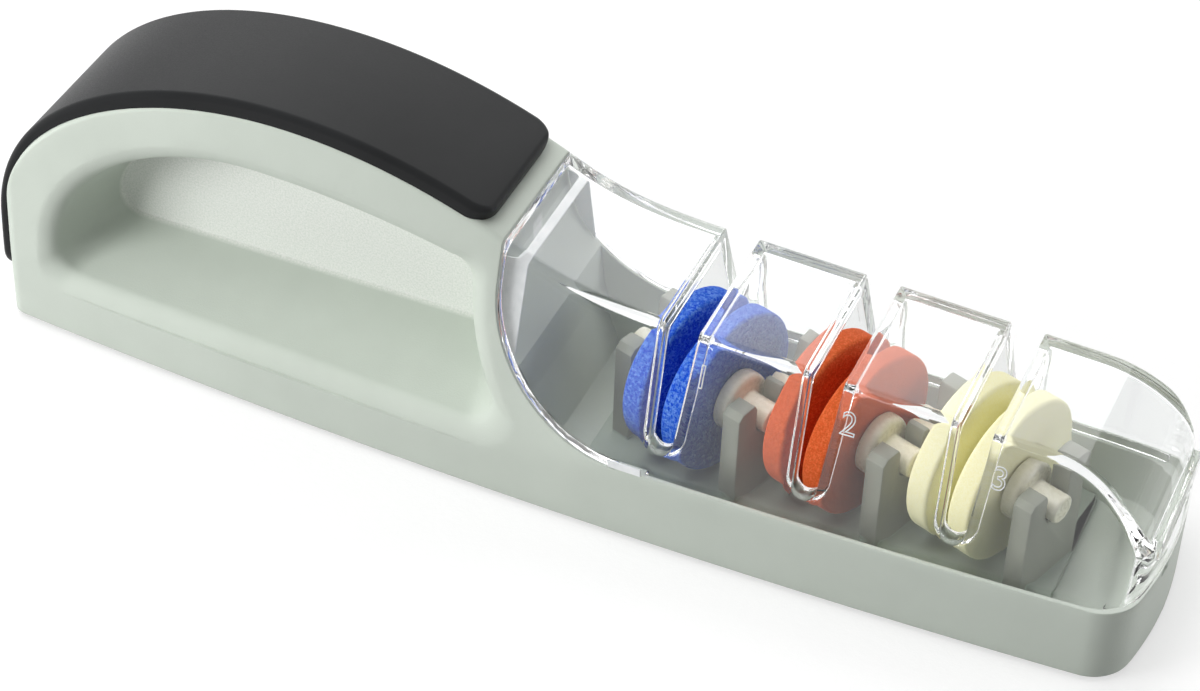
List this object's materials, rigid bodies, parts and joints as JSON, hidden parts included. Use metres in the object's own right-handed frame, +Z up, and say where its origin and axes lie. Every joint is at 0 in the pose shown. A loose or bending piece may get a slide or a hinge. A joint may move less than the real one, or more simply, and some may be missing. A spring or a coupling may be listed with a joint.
{
  "type": "water knife sharpener",
  "caption": "Water knife sharpener with an arched handle, a clear slotted hood and pairs of grinding discs on slanted axles in a water trough.",
  "frame": {"origin": "middle of the box's bottom, on the surface the feet stand on", "axes": "+X from the handle to the nose, +Y to the far side, +Z up"},
  "size_m": [0.239, 0.052, 0.0687],
  "materials": {
    "body_plastic": "satin, light grey-green",
    "grip_rubber": "matt black soft moulding",
    "cradle_plastic": "satin, mid grey",
    "clear_plastic": "clear, polished",
    "axle_plastic": "cream, smooth",
    "coarse_stone": "blue, coarse bonded grit",
    "medium_stone": "orange, fine bonded grit",
    "fine_stone": "cream yellow, smooth ceramic",
    "screw_steel": "plain",
    "foot_rubber": "matt"
  },
  "bodies": {
    "base": {"body_shell": "body_plastic", "grip_pad": "grip_rubber", "wheel_cradle": "cradle_plastic", "base_cover": "body_plastic", "cover_screw_1": "screw_steel", "cover_screw_2": "screw_steel", "cover_screw_3": "screw_steel", "cover_screw_4": "screw_steel", "foot_1": "foot_rubber", "foot_2": "foot_rubber", "foot_3": "foot_rubber", "foot_4": "foot_rubber", "foot_5": "foot_rubber", "foot_6": "foot_rubber"},
    "hood": {"hood": "clear_plastic"},
    "coarse_wheels": {"coarse_axle": "axle_plastic", "coarse_front_disc": "coarse_stone", "coarse_rear_disc": "coarse_stone", "coarse_spacer": "axle_plastic", "coarse_collar": "axle_plastic"},
    "medium_wheels": {"medium_axle": "axle_plastic", "medium_front_disc": "medium_stone", "medium_rear_disc": "medium_stone", "medium_spacer": "axle_plastic", "medium_collar": "axle_plastic"},
    "fine_wheels": {"fine_axle": "axle_plastic", "fine_front_disc": "fine_stone", "fine_rear_disc": "fine_stone", "fine_spacer": "axle_plastic", "fine_collar": "axle_plastic"}
  },
  "joints": [
    {"name": "hood_lift", "type": "slide", "parent": "base", "child": "hood", "axis": [0, 0, 1], "range_m": [0, 0.06]},
    {"name": "coarse_spin", "type": "hinge", "parent": "base", "child": "coarse_wheels", "pos_m": [0.02615, 0, 0.0226], "axis": [0.9483, -0.3173, 0], "continuous": true},
    {"name": "medium_spin", "type": "hinge", "parent": "base", "child": "medium_wheels", "pos_m": [0.05455, 0, 0.0226], "axis": [0.9483, -0.3173, 0], "continuous": true},
    {"name": "fine_spin", "type": "hinge", "parent": "base", "child": "fine_wheels", "pos_m": [0.08295, 0, 0.0226], "axis": [0.9483, -0.3173, 0], "continuous": true}
  ]
}
